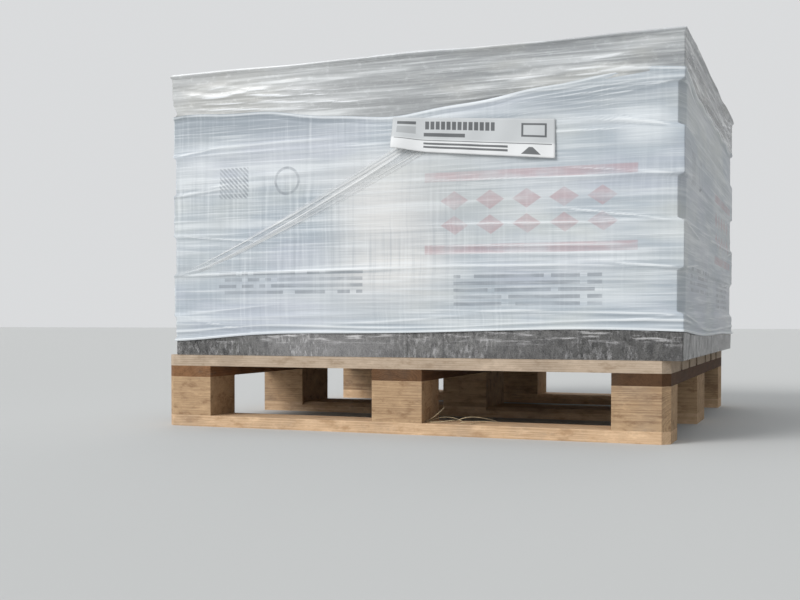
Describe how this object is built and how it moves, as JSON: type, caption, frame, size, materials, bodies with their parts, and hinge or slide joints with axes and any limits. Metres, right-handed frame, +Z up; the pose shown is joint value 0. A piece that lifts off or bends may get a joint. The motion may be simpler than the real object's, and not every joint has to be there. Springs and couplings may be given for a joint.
{
  "type": "pallet of paving stones",
  "caption": "Wooden block pallet loaded with courses of grey concrete paving stones, held together by clear film and a white printed film band.",
  "frame": {"origin": "middle of the pallet's footprint, on the floor", "axes": "+X to the right along the front, which carries the paper label and faces -Y; +Z up"},
  "size_m": [1.023, 1.0061, 0.7053],
  "materials": {
    "pallet_wood": "rough sawn",
    "concrete": "matte, fine grained",
    "clear_film": "glossy",
    "printed_film": "satin",
    "label_paper": "matte"
  },
  "bodies": {
    "root": {"block_front_centre": "pallet_wood", "block_front_left": "pallet_wood", "block_front_right": "pallet_wood", "block_middle_centre": "pallet_wood", "block_middle_left": "pallet_wood", "block_middle_right": "pallet_wood", "block_rear_centre": "pallet_wood", "block_rear_left": "pallet_wood", "block_rear_right": "pallet_wood", "bottom_board_front": "pallet_wood", "bottom_board_middle": "pallet_wood", "bottom_board_rear": "pallet_wood", "clear_wrap": "clear_film", "deck_board_1": "pallet_wood", "deck_board_2": "pallet_wood", "deck_board_3": "pallet_wood", "deck_board_4": "pallet_wood", "deck_board_5": "pallet_wood", "deck_board_6": "pallet_wood", "deck_board_7": "pallet_wood", "label": "label_paper", "printed_wrap": "printed_film", "stone_course_1": "concrete", "stone_course_2": "concrete", "stone_course_3": "concrete", "stone_course_4": "concrete", "stone_course_5": "concrete", "stone_course_6": "concrete", "stone_course_7": "concrete", "stringer_centre": "pallet_wood", "stringer_left": "pallet_wood", "stringer_right": "pallet_wood"}
  },
  "joints": []
}
